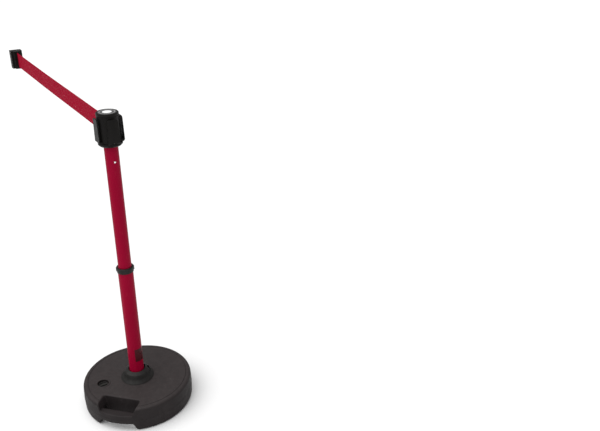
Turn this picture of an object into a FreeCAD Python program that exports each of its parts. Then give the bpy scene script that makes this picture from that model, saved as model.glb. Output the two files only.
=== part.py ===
"""Retractable belt stanchion: fillable base, telescoping post, belt head and pull-out belt.

Frame: origin at the centre of the base on the floor, +Z up, the belt leaves the head along +Y.
All sizes are in millimetres. Each node is written to its own STEP file in parts/.
"""

import FreeCAD, Part
import math
import os

V = FreeCAD.Vector

# ---- driving dimensions -------------------------------------------------------------------
OVERALL_HEIGHT = 1020.0  # floor to the top of the head
BASE_RADIUS = 181.5  # at the parting line half way up
BASE_DRAFT = 2.0  # how much narrower the drum is at its top and bottom
BASE_HEIGHT = 86.0
BASE_WALL = 3.5
BASE_EDGE = 10.0  # radius of the rounded top and bottom rims
HANDLE_ANGLE = 224.0  # where the carrying handle sits around the rim, degrees from +X
PLUG_ANGLE = 169.5  # where the fill plug sits
PLUG_DISTANCE = 116.0  # fill plug centre from the base centre

LOWER_TUBE_RADIUS = 24.15
UPPER_TUBE_RADIUS = 21.1
TUBE_WALL = 1.5
POST_BOTTOM = 16.0  # underside of the post's foot, on the socket floor
SOCKET_TOP = 119.0  # rim of the socket collar that the post drops into
LOWER_TUBE_TOP = 503.0
UPPER_TUBE_BOTTOM = 400.0
COLLAR_BOTTOM = 496.0
COLLAR_TOP = 513.5

HEAD_BOTTOM = 920.0
HEAD_RADIUS = 32.5
HEAD_WALL = 2.5
HEAD_FOOT_RADIUS = 36.0  # thicker band round the bottom, under the receivers
CAP_RADIUS = 32.8
CAP_THICKNESS = 9.0
RECEIVER_FACE = 35.8  # inner face of a receiver plate, from the head's axis
RECEIVER_THICKNESS = 3.0
RECEIVER_HALF_WIDTH = 18.3  # at the foot
RECEIVER_HALF_TOP = 15.4  # the plate narrows upwards
RECEIVER_BOTTOM = 930.0
RECEIVER_TOP = 1005.0

BELT_WIDTH = 59.0
BELT_THICKNESS = 1.0
BELT_HEIGHT = 972.5  # centre of the belt above the floor
POST_SPACING = 1132.0  # to the axis of the next stanchion, which takes the belt's clip
CLIP_REACH = 75.0  # the clip's near end, from the next stanchion's axis
CLIP_HEIGHT = 70.0
SPOOL_RADIUS = 24.0
ROLL_RADIUS = 17.5  # the belt left on the spool with the span pulled out

RUN_GAP = 0.1  # radial clearance of parts that turn or slide in each other
FREE_GAP = 0.3  # clearance between parts on different bodies that don't guide each other

HEAD_TOP = OVERALL_HEIGHT
CAP_BOTTOM = HEAD_TOP - CAP_THICKNESS
HOUSING_TOP = CAP_BOTTOM - 1.0


# ---- helpers ------------------------------------------------------------------------------
def save(shape, node):
    """Write one node's solid or group of solids."""
    shape.removeSplitter().exportStep("parts/" + node + ".step")


def cylinder(radius, bottom, top, centre=(0.0, 0.0)):
    return Part.makeCylinder(radius, top - bottom, V(centre[0], centre[1], bottom))


def ring(outer, inner, bottom, top, centre=(0.0, 0.0)):
    return cylinder(outer, bottom, top, centre).cut(cylinder(inner, bottom, top, centre))


def block(x0, x1, y0, y1, z0, z1):
    return Part.makeBox(x1 - x0, y1 - y0, z1 - z0, V(x0, y0, z0))


def revolve(points):
    """Turn a closed outline of (radius, height) points about the Z axis."""
    corners = [V(r, 0, z) for r, z in points]
    face = Part.Face(Part.makePolygon(corners + corners[:1]))
    return face.revolve(V(0, 0, 0), V(0, 0, 1), 360)


def extrude(points, direction):
    corners = [V(*p) for p in points]
    return Part.Face(Part.makePolygon(corners + corners[:1])).extrude(V(*direction))


def turned(shape, degrees):
    copy = shape.copy()
    copy.rotate(V(0, 0, 0), V(0, 0, 1), degrees)
    return copy


def radial_rod(radius, start, end, height):
    """A rod along +X from start to end at a height; turned() aims it elsewhere."""
    return Part.makeCylinder(radius, end - start, V(start, 0, height), V(1, 0, 0))


def joined(first, *others):
    for other in others:
        first = first.fuse(other)
    return first


def rounded(shape, radius, wanted):
    """Fillet the edges for which wanted(edge) is true."""
    edges = [edge for edge in shape.Edges if wanted(edge)]
    return shape.makeFillet(radius, edges) if edges else shape


# ---- base ---------------------------------------------------------------------------------
GRIP_TOP = 59.0
GRIP_BOTTOM = 27.0
GRIP_INNER = 149.0  # inner face of the grip bar, from the base centre
SLOT_INNER = 121.0  # inner wall of the hand slot
SLOT_HALF = 56.0  # half the grip's length
NOTCH_HALF_TOP = 65.0
ARCH_HALF_FLOOR = 66.0
WELL_RADIUS = 33.0  # through the middle of the base, for the socket
NUT_RECESS_RADIUS = 47.0
NUT_RECESS_TOP = 10.0
FOOT_RING_INNER = 140.0  # inside this the underside is raised off the floor
FOOT_RING_SLOPE = 6.0
FOOT_RING_DEPTH = 3.0
RIM_GROOVE_RADIUS = 164.0  # fine line round the top
RIM_GROOVE_DEPTH = 0.9
RIM_GROOVE_WIDTH = 2.0
PLUG_RECESS_RADIUS = 18.5
PLUG_RECESS_FLOOR = 73.0
PLUG_RIM_RADIUS = 23.5  # raised ring round the recess
PLUG_RIM_HEIGHT = 1.5
NECK_BORE = 12.0
NECK_BOTTOM = 57.0
HANDLE_ROOM_MARGIN = 12.0  # solid plastic past the ends of the handle cuts


def plug_centre():
    angle = math.radians(PLUG_ANGLE)
    return (PLUG_DISTANCE * math.cos(angle), PLUG_DISTANCE * math.sin(angle))


def base_body(inset):
    """The base's drum shape, widest half way up, shrunk by inset on every side."""
    middle = BASE_RADIUS - inset
    rim = middle - BASE_DRAFT
    top = BASE_HEIGHT - inset
    drum = revolve([(0, inset), (rim, inset), (middle, BASE_HEIGHT / 2), (rim, top), (0, top)])
    return rounded(drum, BASE_EDGE - inset, lambda e: rim_circle(e, rim))


def rim_circle(edge, radius):
    return isinstance(edge.Curve, Part.Circle) and abs(edge.Curve.Radius - radius) < 0.01


def across_slot(half_low, half_high, low, high):
    """A wedge-ended cut along the handle, open past the rim; ends lean between two heights."""
    profile = [
        (SLOT_INNER, -half_low, low),
        (SLOT_INNER, half_low, low),
        (SLOT_INNER, half_high, high),
        (SLOT_INNER, -half_high, high),
    ]
    return extrude(profile, (BASE_RADIUS, 0, 0))


def handle_cuts():
    """Everything taken out around the grip bar, with the handle on +X."""
    above = across_slot(SLOT_HALF, NOTCH_HALF_TOP, GRIP_TOP, BASE_HEIGHT + 1)
    below = across_slot(ARCH_HALF_FLOOR, SLOT_HALF, -1, GRIP_BOTTOM)
    middle = block(SLOT_INNER, GRIP_INNER, -SLOT_HALF, SLOT_HALF, GRIP_BOTTOM, GRIP_TOP)
    return joined(above, below, middle)


def base_cavity(gap):
    """The hollow for the fill, gap clear of the shell's inner faces."""
    wall = BASE_WALL + gap
    hollow = base_body(wall)
    half = NOTCH_HALF_TOP + HANDLE_ROOM_MARGIN
    handle_room = block(SLOT_INNER - wall, BASE_RADIUS, -half, half, 0, BASE_HEIGHT)
    centre = plug_centre()
    keep_out = [
        turned(handle_room, HANDLE_ANGLE),
        cylinder(WELL_RADIUS + wall, 0, BASE_HEIGHT),
        cylinder(NUT_RECESS_RADIUS + wall, 0, NUT_RECESS_TOP + wall),
        cylinder(PLUG_RECESS_RADIUS + wall, PLUG_RECESS_FLOOR - wall, BASE_HEIGHT, centre),
        cylinder(NECK_BORE + wall, NECK_BOTTOM - gap, BASE_HEIGHT, centre),
    ]
    for shape in keep_out:
        hollow = hollow.cut(shape)
    return hollow


def base_shell():
    """Hollow moulded drum with a hand slot and grip bar, a centre well and a fill neck."""
    foot_recess = revolve(
        [
            (0, -1),
            (FOOT_RING_INNER, -1),
            (FOOT_RING_INNER, 0),
            (FOOT_RING_INNER - FOOT_RING_SLOPE, FOOT_RING_DEPTH),
            (0, FOOT_RING_DEPTH),
        ]
    )
    rim_groove = ring(
        RIM_GROOVE_RADIUS + RIM_GROOVE_WIDTH / 2,
        RIM_GROOVE_RADIUS - RIM_GROOVE_WIDTH / 2,
        BASE_HEIGHT - RIM_GROOVE_DEPTH,
        BASE_HEIGHT + 1,
    )
    centre = plug_centre()
    plug_rim = cylinder(PLUG_RIM_RADIUS, BASE_HEIGHT - 1, BASE_HEIGHT + PLUG_RIM_HEIGHT, centre)
    shell = base_body(0).cut(foot_recess).cut(rim_groove).fuse(plug_rim)
    shell = shell.cut(turned(handle_cuts(), HANDLE_ANGLE))
    shell = shell.cut(base_cavity(0))
    shell = shell.cut(cylinder(WELL_RADIUS, -1, BASE_HEIGHT + 1))
    shell = shell.cut(cylinder(NUT_RECESS_RADIUS, -1, NUT_RECESS_TOP))
    shell = shell.cut(
        cylinder(PLUG_RECESS_RADIUS, PLUG_RECESS_FLOOR, BASE_HEIGHT + 5, centre)
    )
    return shell.cut(cylinder(NECK_BORE, NECK_BOTTOM - 1, BASE_HEIGHT, centre))


FILL_LEVEL = 48.0


def ballast_fill():
    """The weight poured into the base, up to its fill level."""
    return base_cavity(0.3).common(cylinder(BASE_RADIUS, 0, FILL_LEVEL))


CAP_FLANGE_RADIUS = 16.0
CAP_FLANGE_TOP = 81.0
CAP_RIM = 2.5  # width of the rim round the dished top
CAP_FLOOR = 1.8  # thickness under the dish
CAP_BAR_HALF_WIDTH = 2.2
SEAL_THICKNESS = 2.0
PLUG_LENGTH = 14.0


def fill_cap():
    """Screw plug with a bar across its dished top for turning it."""
    centre = plug_centre()
    seat = PLUG_RECESS_FLOOR + SEAL_THICKNESS
    dish = CAP_FLANGE_RADIUS - CAP_RIM
    half = CAP_BAR_HALF_WIDTH
    head = cylinder(CAP_FLANGE_RADIUS, seat, CAP_FLANGE_TOP, centre)
    head = head.cut(cylinder(dish, seat + CAP_FLOOR, CAP_FLANGE_TOP, centre))
    bar = block(-dish - 1, dish + 1, -half, half, seat + CAP_FLOOR - 0.5, CAP_FLANGE_TOP)
    bar.translate(V(centre[0], centre[1], 0))
    stem = cylinder(NECK_BORE - FREE_GAP, seat - PLUG_LENGTH, seat, centre)
    return joined(head, bar, stem)


def fill_cap_seal():
    return ring(
        CAP_FLANGE_RADIUS - 0.5,
        NECK_BORE + 0.3,
        PLUG_RECESS_FLOOR,
        PLUG_RECESS_FLOOR + SEAL_THICKNESS,
        plug_centre(),
    )


SOCKET_BORE = LOWER_TUBE_RADIUS + 0.3
SOCKET_SLEEVE = 32.7
SOCKET_LEAD = 1.2  # chamfer that leads the sleeve into the well
SOCKET_CUP = 27.5  # outer radius of the cup under the sleeve
SOCKET_FLOOR = 4.0
SOCKET_FLANGE = 55.0
FLANGE_EDGE = (55.0, 87.5)  # (radius, height) points up the collar's outside
WALL_BOTTOM = (46.0, 97.0)
WALL_TOP = (41.0, 111.0)
SHOULDER = (38.5, 113.5)
LIP_OUTER = (30.0, 118.0)
LIP_INNER = (28.0, SOCKET_TOP)
LEAD_IN_BOTTOM = 113.0  # the bore widens above this
KEYWAY_WIDTH = 7.0
KEYWAY_REACH = 30.0
KEYWAY_BOTTOM = 28.0
KEY_HEIGHT = 34.0
NOTCH_WIDTH = 14.0
NOTCH_REACH = (35.0, 44.5)  # from and to the axis
NOTCH_FLOOR = 93.0
NOTCH_ANGLE = -14.0
DRAIN_RADIUS = 5.0


def socket_insert():
    """Sleeve that holds the post: domed collar on the base, keyway down one side."""
    body = revolve(
        [
            (0, POST_BOTTOM - SOCKET_FLOOR),
            (SOCKET_CUP, POST_BOTTOM - SOCKET_FLOOR),
            (SOCKET_CUP, FOOT_RING_DEPTH),
            (SOCKET_SLEEVE - SOCKET_LEAD, FOOT_RING_DEPTH),
            (SOCKET_SLEEVE, FOOT_RING_DEPTH + SOCKET_LEAD),
            (SOCKET_SLEEVE, BASE_HEIGHT),
            (SOCKET_FLANGE, BASE_HEIGHT),
            FLANGE_EDGE,
            WALL_BOTTOM,
            WALL_TOP,
            SHOULDER,
            LIP_OUTER,
            LIP_INNER,
            (SOCKET_BORE, LEAD_IN_BOTTOM),
            (SOCKET_BORE, POST_BOTTOM),
            (0, POST_BOTTOM),
        ]
    )
    half = KEYWAY_WIDTH / 2
    keyway = block(0, KEYWAY_REACH, -half, half, KEYWAY_BOTTOM, SOCKET_TOP + 1)
    keyway = keyway.cut(cylinder(SOCKET_BORE - 0.01, 0, OVERALL_HEIGHT))
    half = NOTCH_WIDTH / 2
    notch = block(*NOTCH_REACH, -half, half, NOTCH_FLOOR, SOCKET_TOP)
    drain = cylinder(DRAIN_RADIUS, 0, POST_BOTTOM + 1)
    return body.cut(keyway).cut(turned(notch, NOTCH_ANGLE)).cut(drain)


NUT_RADIUS = 44.0
NUT_BOTTOM = 4.5
SPANNER_NOTCH_DEPTH = 3.5
SPANNER_NOTCH_HALF = 3.0


def socket_nut():
    """Ring nut under the base that clamps the socket, with notches for a spanner."""
    nut = ring(NUT_RADIUS, SOCKET_SLEEVE, NUT_BOTTOM, NUT_RECESS_TOP)
    half = SPANNER_NOTCH_HALF
    notch = block(NUT_RADIUS - SPANNER_NOTCH_DEPTH, NUT_RADIUS + 1, -half, half, 0, NUT_RECESS_TOP)
    for index in range(6):
        nut = nut.cut(turned(notch, 60 * index))
    return nut


# ---- post ---------------------------------------------------------------------------------
TUBE_SEAT = POST_BOTTOM + 4.0
FOOT_PLUG_TOP = 50.0
FOOT_BORE = 12.0
FOOT_CHAMFER = 1.5
PIN_RADIUS = 3.0
THROUGH = 30.0  # reach of a rod that cuts right through a tube wall


def post_foot():
    """Plastic plug that closes the lower tube and stands on the socket floor."""
    bore = LOWER_TUBE_RADIUS - TUBE_WALL
    foot = revolve(
        [
            (FOOT_BORE, POST_BOTTOM),
            (LOWER_TUBE_RADIUS - FOOT_CHAMFER, POST_BOTTOM),
            (LOWER_TUBE_RADIUS, POST_BOTTOM + FOOT_CHAMFER),
            (LOWER_TUBE_RADIUS, TUBE_SEAT),
            (bore, TUBE_SEAT),
            (bore, FOOT_PLUG_TOP - FOOT_CHAMFER),
            (bore - FOOT_CHAMFER, FOOT_PLUG_TOP),
            (FOOT_BORE, FOOT_PLUG_TOP),
        ]
    )
    return foot.cut(radial_rod(PIN_RADIUS, -THROUGH, THROUGH, KEY_HEIGHT))


def foot_key_pin():
    """Steel cross pin: holds the plug in the tube, its long end is the key."""
    return radial_rod(PIN_RADIUS, -LOWER_TUBE_RADIUS + 0.4, KEYWAY_REACH - 1.2, KEY_HEIGHT)


def lower_tube():
    tube = ring(
        LOWER_TUBE_RADIUS, LOWER_TUBE_RADIUS - TUBE_WALL, TUBE_SEAT, LOWER_TUBE_TOP
    )
    return tube.cut(radial_rod(PIN_RADIUS, -THROUGH, THROUGH, KEY_HEIGHT))


LABEL_FILM = 0.15
TUBE_LABEL_BOTTOM = 158.0
TUBE_LABEL_TOP = 206.0
TUBE_LABEL_START = 250.0  # degrees round the tube from +X
TUBE_LABEL_SPAN = 78.0


def tube_label():
    """Plain film wrapped part of the way round the lower tube, just above the base."""
    height = TUBE_LABEL_TOP - TUBE_LABEL_BOTTOM
    foot = V(0, 0, TUBE_LABEL_BOTTOM)
    up = V(0, 0, 1)
    outer = Part.makeCylinder(LOWER_TUBE_RADIUS + LABEL_FILM, height, foot, up, TUBE_LABEL_SPAN)
    return turned(outer.cut(cylinder(LOWER_TUBE_RADIUS, 0, LOWER_TUBE_TOP)), TUBE_LABEL_START)


COLLET_BORE = UPPER_TUBE_RADIUS + RUN_GAP
FERRULE_RADIUS = LOWER_TUBE_RADIUS + 0.9
FERRULE_BOTTOM = LOWER_TUBE_TOP - 5.0
COLLET_SHOULDER = LOWER_TUBE_TOP + 3.0
COLLET_TOP = LOWER_TUBE_TOP + 8.0
COLLET_TIP = UPPER_TUBE_RADIUS + 1.4  # outer radius of the collet's tapered end
COLLET_DEPTH = 25.0  # inside the lower tube
COLLET_SLIT_HALF = 0.6


def collar_ferrule():
    """Threaded steel ring pressed on the tube's end, for the twist collar."""
    return ring(FERRULE_RADIUS, LOWER_TUBE_RADIUS, FERRULE_BOTTOM, LOWER_TUBE_TOP)


def clamp_collet():
    """Split nylon sleeve that guides the upper tube and grips it when the collar is turned."""
    seat = LOWER_TUBE_RADIUS - TUBE_WALL
    collet = revolve(
        [
            (COLLET_BORE, LOWER_TUBE_TOP - COLLET_DEPTH),
            (seat, LOWER_TUBE_TOP - COLLET_DEPTH),
            (seat, LOWER_TUBE_TOP),
            (LOWER_TUBE_RADIUS, LOWER_TUBE_TOP),
            (LOWER_TUBE_RADIUS, COLLET_SHOULDER),
            (COLLET_TIP, COLLET_TOP),
            (COLLET_BORE, COLLET_TOP),
        ]
    )
    half = COLLET_SLIT_HALF
    slit = block(0, THROUGH, -half, half, LOWER_TUBE_TOP + 1, COLLET_TOP + 1)
    for index in range(4):
        collet = collet.cut(turned(slit, 90 * index + 45))
    return collet


COLLAR_FLARE = 27.6
COLLAR_WAIST = 26.2
COLLAR_LIP = UPPER_TUBE_RADIUS + 0.6
COLLAR_ROOM = 0.4  # between the collar and what it turns around
LUG_ANGLE = 282.3  # one of the six evenly spaced finger lugs
LUG_REACH = 28.4
LUG_HALF_WIDTH = 2.6


def twist_collar():
    """Flared ring with six finger lugs that squeezes the collet on the upper tube."""
    room = COLLAR_ROOM
    body = revolve(
        [
            (LOWER_TUBE_RADIUS + FREE_GAP, COLLAR_BOTTOM),
            (COLLAR_WAIST, COLLAR_BOTTOM),
            (COLLAR_FLARE - 0.4, COLLAR_TOP - 8),
            (COLLAR_FLARE, COLLAR_TOP - 2),
            (COLLAR_FLARE - 1.4, COLLAR_TOP),
            (COLLAR_LIP, COLLAR_TOP),
            (COLLAR_LIP, COLLET_TOP + room),
            (COLLET_TIP + room, COLLET_TOP + room),
            (LOWER_TUBE_RADIUS + room, COLLET_SHOULDER + room),
            (LOWER_TUBE_RADIUS + room, LOWER_TUBE_TOP + room),
            (FERRULE_RADIUS + RUN_GAP, LOWER_TUBE_TOP + room),
            (FERRULE_RADIUS + RUN_GAP, FERRULE_BOTTOM - room),
            (LOWER_TUBE_RADIUS + FREE_GAP, FERRULE_BOTTOM - room),
        ]
    )
    half = LUG_HALF_WIDTH
    lug = block(COLLAR_WAIST - 0.5, LUG_REACH, -half, half, COLLAR_BOTTOM + 4, COLLAR_TOP - 1.5)
    for index in range(6):
        body = body.fuse(turned(lug, LUG_ANGLE + 60 * index))
    return body


# ---- mast ---------------------------------------------------------------------------------
BUTTON_HEIGHT = 871.0
BUTTON_RADIUS = 3.0
RIVET_HEIGHT = UPPER_TUBE_BOTTOM + 12.0
RIVET_RADIUS = 1.6
RIVET_HEAD_RADIUS = 3.0
RIVET_HEAD_STAND = 0.8
RIVET_BORE = 0.8
GLIDE_BORE = 14.0
GLIDE_BELOW = 16.0  # length under the tube's end
GLIDE_ABOVE = 24.0  # length inside the tube


def button_hole():
    """Cuts the front wall of the tube and of the spigot in it."""
    return turned(radial_rod(BUTTON_RADIUS + FREE_GAP, 10, THROUGH, BUTTON_HEIGHT), -90)


def upper_tube():
    tube = ring(
        UPPER_TUBE_RADIUS, UPPER_TUBE_RADIUS - TUBE_WALL, UPPER_TUBE_BOTTOM, HEAD_BOTTOM
    )
    rivet_hole = radial_rod(RIVET_RADIUS, -THROUGH, THROUGH, RIVET_HEIGHT)
    return tube.cut(button_hole()).cut(rivet_hole)


def glide_plug():
    """Nylon slider on the upper tube's end that keeps it centred in the lower tube."""
    spigot = UPPER_TUBE_RADIUS - TUBE_WALL
    glide = LOWER_TUBE_RADIUS - TUBE_WALL - RUN_GAP
    plug = revolve(
        [
            (GLIDE_BORE, UPPER_TUBE_BOTTOM - GLIDE_BELOW),
            (glide - 1, UPPER_TUBE_BOTTOM - GLIDE_BELOW),
            (glide, UPPER_TUBE_BOTTOM - GLIDE_BELOW + 1),
            (glide, UPPER_TUBE_BOTTOM),
            (spigot, UPPER_TUBE_BOTTOM),
            (spigot, UPPER_TUBE_BOTTOM + GLIDE_ABOVE),
            (GLIDE_BORE, UPPER_TUBE_BOTTOM + GLIDE_ABOVE),
        ]
    )
    return plug.cut(radial_rod(RIVET_RADIUS, -THROUGH, THROUGH, RIVET_HEIGHT))


def glide_rivets():
    """Two pop rivets with low heads that fasten the glide in the tube."""
    skin = UPPER_TUBE_RADIUS + 0.05
    tip = UPPER_TUBE_RADIUS + RIVET_HEAD_STAND
    rivet = joined(
        radial_rod(RIVET_RADIUS, GLIDE_BORE + 0.5, skin + 0.2, RIVET_HEIGHT),
        radial_rod(RIVET_HEAD_RADIUS, skin, tip, RIVET_HEIGHT),
    )
    rivet = rivet.cut(radial_rod(RIVET_BORE, GLIDE_BORE, UPPER_TUBE_RADIUS - 2, RIVET_HEIGHT))
    return Part.makeCompound([rivet, turned(rivet, 180)])


SPIGOT_BOTTOM = 856.0
SPIGOT_BORE = 15.0
SPIGOT_WEB = 6.0
SCREW_RADIUS = 3.0


def head_spigot():
    """Plug under the head that sits in the upper tube's end."""
    outer = UPPER_TUBE_RADIUS - TUBE_WALL
    spigot = revolve(
        [
            (SPIGOT_BORE, SPIGOT_BOTTOM),
            (outer - 1, SPIGOT_BOTTOM),
            (outer, SPIGOT_BOTTOM + 1),
            (outer, HEAD_BOTTOM),
            (SCREW_RADIUS, HEAD_BOTTOM),
            (SCREW_RADIUS, HEAD_BOTTOM - SPIGOT_WEB),
            (SPIGOT_BORE, HEAD_BOTTOM - SPIGOT_WEB),
        ]
    )
    return spigot.cut(button_hole())


BUTTON_STAND = 2.0  # how far the button stands out of the tube
BUTTON_NOSE = 1.2  # length of its tapered end
BUTTON_STEP = 4.6
BUTTON_FRONT = SPIGOT_BORE - 1.0  # the step that stops the button inside the spigot
BUTTON_BACK = SPIGOT_BORE - 2.6
LEAF_THICKNESS = 0.6
LEAF_WIDTH = 7.0
LEAF_CORNER = 6.0  # how far its cut corners reach
LEAF_ABOVE_BUTTON = 7.0


def head_lock_button():
    """Round-nosed button that locks the head's spigot in the tube."""
    tip = UPPER_TUBE_RADIUS + BUTTON_STAND
    stem = radial_rod(BUTTON_RADIUS, BUTTON_FRONT, tip - BUTTON_NOSE, BUTTON_HEIGHT)
    nose = Part.makeCone(
        BUTTON_RADIUS, BUTTON_RADIUS - BUTTON_NOSE, BUTTON_NOSE,
        V(tip - BUTTON_NOSE, 0, BUTTON_HEIGHT), V(1, 0, 0),
    )
    step = radial_rod(BUTTON_STEP, BUTTON_BACK, BUTTON_FRONT, BUTTON_HEIGHT)
    return turned(joined(step, stem, nose), -90)


def head_lock_spring():
    """Folded spring leaf in the spigot: one arm behind the button, one against the far wall."""
    front = BUTTON_BACK - 0.05
    back = -SPIGOT_BORE + 1.6
    fold = SPIGOT_BOTTOM + 1.0
    top = BUTTON_HEIGHT + LEAF_ABOVE_BUTTON
    thin = LEAF_THICKNESS
    half = LEAF_WIDTH / 2
    corner = LEAF_CORNER
    outline = [
        (front, -half, top),
        (front, -half, fold + corner),
        (front - corner, -half, fold),
        (back + corner, -half, fold),
        (back, -half, fold + corner),
        (back, -half, top),
        (back + thin, -half, top),
        (back + thin, -half, fold + corner + thin / 2),
        (back + corner + thin / 2, -half, fold + thin),
        (front - corner - thin / 2, -half, fold + thin),
        (front - thin, -half, fold + corner + thin / 2),
        (front - thin, -half, top),
    ]
    return turned(extrude(outline, (0, LEAF_WIDTH, 0)), -90)


# ---- head ---------------------------------------------------------------------------------
FLOOR_THICKNESS = 4.0
HEAD_CHAMFER = 4.5
SLOT_HALF_WIDTH = 2.2
SLOT_MARGIN = 2.5  # above and below the belt
BEZEL_FACE = 37.5
BEZEL_HALF_WIDTH = 15.0
BEZEL_TOP = BELT_HEIGHT + BELT_WIDTH / 2 + 6.0
BEZEL_ROUNDING = 2.0


def belt_slot(inner, outer, half_width, margin):
    """The opening that the belt leaves through, on the +Y side."""
    half = BELT_WIDTH / 2 + margin
    return block(-half_width, half_width, inner, outer, BELT_HEIGHT - half, BELT_HEIGHT + half)


RECEIVER_ANGLES = {"left": 180.0, "right": 0.0, "front": 270.0}
SCREW_LINE = RECEIVER_BOTTOM + 3.5  # height of the screw through each receiver's foot
SMALL_SCREW = 1.6
SMALL_SCREW_HEAD = 2.8
SCREW_GRIP = 4.0  # how deep a receiver's screw goes in its foot


def receiver_screw_hole():
    return radial_rod(SMALL_SCREW, HEAD_RADIUS - 8, HEAD_RADIUS + SCREW_GRIP, SCREW_LINE)


def head_housing():
    """Round cup that holds the spool, with a belt slot at the back."""
    floor = HEAD_BOTTOM + FLOOR_THICKNESS
    cup = revolve(
        [
            (SCREW_RADIUS, HEAD_BOTTOM),
            (HEAD_FOOT_RADIUS - HEAD_CHAMFER, HEAD_BOTTOM),
            (HEAD_FOOT_RADIUS, HEAD_BOTTOM + HEAD_CHAMFER),
            (HEAD_FOOT_RADIUS, RECEIVER_BOTTOM),
            (HEAD_RADIUS, RECEIVER_BOTTOM),
            (HEAD_RADIUS, HOUSING_TOP),
            (HEAD_RADIUS - HEAD_WALL, HOUSING_TOP),
            (HEAD_RADIUS - HEAD_WALL, floor),
            (SCREW_RADIUS, floor),
        ]
    )
    cup = cup.cut(belt_slot(0, BEZEL_FACE, SLOT_HALF_WIDTH + 2, SLOT_MARGIN))
    for angle in RECEIVER_ANGLES.values():
        cup = cup.cut(turned(receiver_screw_hole(), angle))
    return cup


def head_space():
    """The room that the round housing takes, for cutting what sits against it."""
    return cylinder(HEAD_RADIUS, 0, OVERALL_HEIGHT)


def belt_slot_bezel():
    """Smooth-edged mouthpiece around the belt slot."""
    half = BEZEL_HALF_WIDTH
    plate = block(-half, half, half, BEZEL_FACE, RECEIVER_BOTTOM, BEZEL_TOP).cut(head_space())
    plate = rounded(plate, BEZEL_ROUNDING, lambda e: abs(e.BoundBox.YMin - BEZEL_FACE) < 0.01)
    inside = HEAD_RADIUS - HEAD_WALL
    tongue = belt_slot(inside, HEAD_RADIUS + 1, SLOT_HALF_WIDTH + 2, SLOT_MARGIN)
    slot = belt_slot(0, BEZEL_FACE + 1, SLOT_HALF_WIDTH, SLOT_MARGIN - 1)
    return joined(plate, tongue).cut(slot)


RECEIVER_CORNER = 7.0  # radius of the plate's top corners
RECEIVER_FOOT_TOP = RECEIVER_BOTTOM + 7.0
RECEIVER_CHAMFER = 4.5  # under the plate's outer face
PAD_HALF_WIDTH = 9.0
PAD_STAND = 0.5  # how far the pad stands off the housing, for the clip to run on


def receiver():
    """Upright plate off the housing, open at the top, that a belt clip drops over (on +X)."""
    half = RECEIVER_HALF_WIDTH
    outer = RECEIVER_FACE + RECEIVER_THICKNESS
    inner = HEAD_RADIUS - 8
    front = [
        (RECEIVER_FACE, -half, RECEIVER_FOOT_TOP - 1),
        (RECEIVER_FACE, half, RECEIVER_FOOT_TOP - 1),
        (RECEIVER_FACE, RECEIVER_HALF_TOP, RECEIVER_TOP),
        (RECEIVER_FACE, -RECEIVER_HALF_TOP, RECEIVER_TOP),
    ]
    plate = extrude(front, (RECEIVER_THICKNESS, 0, 0))
    plate = rounded(
        plate,
        RECEIVER_CORNER,
        lambda e: e.BoundBox.ZMin > RECEIVER_TOP - 0.01 and e.BoundBox.YLength < 0.01,
    )
    side = [
        (inner, -half, RECEIVER_BOTTOM),
        (outer - RECEIVER_CHAMFER, -half, RECEIVER_BOTTOM),
        (outer, -half, RECEIVER_BOTTOM + RECEIVER_CHAMFER),
        (outer, -half, RECEIVER_FOOT_TOP),
        (inner, -half, RECEIVER_FOOT_TOP),
    ]
    foot = extrude(side, (0, 2 * half, 0))
    pad_outer = HEAD_RADIUS + PAD_STAND
    pad_half = PAD_HALF_WIDTH
    pad = block(inner, pad_outer, -pad_half, pad_half, RECEIVER_FOOT_TOP - 1, RECEIVER_TOP - 2)
    return joined(plate, foot, pad).cut(head_space()).cut(receiver_screw_hole())


def receiver_screws():
    """One screw from inside the housing into each receiver's foot."""
    inside = HEAD_RADIUS - HEAD_WALL
    screw = joined(
        radial_rod(SMALL_SCREW, inside - 1, HEAD_RADIUS + SCREW_GRIP, SCREW_LINE),
        radial_rod(SMALL_SCREW_HEAD, inside - 2.2, inside - 0.3, SCREW_LINE),
    )
    return Part.makeCompound([turned(screw, a) for a in RECEIVER_ANGLES.values()])


LABEL_RADIUS = 26.5
LABEL_DEPTH = 0.8
CAP_SKIRT_OUTER = HEAD_RADIUS - HEAD_WALL - 0.1
CAP_SKIRT_INNER = CAP_SKIRT_OUTER - 2.5
CAP_SKIRT_BOTTOM = CAP_BOTTOM - 5.0
CAP_BOSS_RADIUS = 12.0
CAP_BOSS_BOTTOM = CAP_BOTTOM - 2.0
RIM_NOTCH_HALF = 2.2


def head_cap():
    """Lid with a rounded rim, a thin groove above the housing and a recess for the label."""
    lid = revolve(
        [
            (0, CAP_BOSS_BOTTOM),
            (CAP_BOSS_RADIUS, CAP_BOSS_BOTTOM),
            (CAP_BOSS_RADIUS, CAP_BOTTOM),
            (CAP_SKIRT_INNER, CAP_BOTTOM),
            (CAP_SKIRT_INNER, CAP_SKIRT_BOTTOM),
            (CAP_SKIRT_OUTER, CAP_SKIRT_BOTTOM),
            (CAP_SKIRT_OUTER, HOUSING_TOP),
            (HEAD_RADIUS - 1.0, HOUSING_TOP),
            (HEAD_RADIUS - 1.0, CAP_BOTTOM),
            (CAP_RADIUS, CAP_BOTTOM),
            (CAP_RADIUS, HEAD_TOP - 2.6),
            (CAP_RADIUS - 0.8, HEAD_TOP - 0.8),
            (CAP_RADIUS - 2.6, HEAD_TOP),
            (LABEL_RADIUS + 1.2, HEAD_TOP),
            (LABEL_RADIUS + 0.2, HEAD_TOP - LABEL_DEPTH),
            (0, HEAD_TOP - LABEL_DEPTH),
        ]
    )
    lid = lid.cut(cylinder(AXLE_RADIUS + 0.05, 0, CAP_BOTTOM))
    half = RIM_NOTCH_HALF
    rim_notch = block(CAP_RADIUS - 3.5, CAP_RADIUS + 1, -half, half, CAP_BOTTOM + 3, HEAD_TOP + 1)
    return lid.cut(rim_notch)


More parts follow.
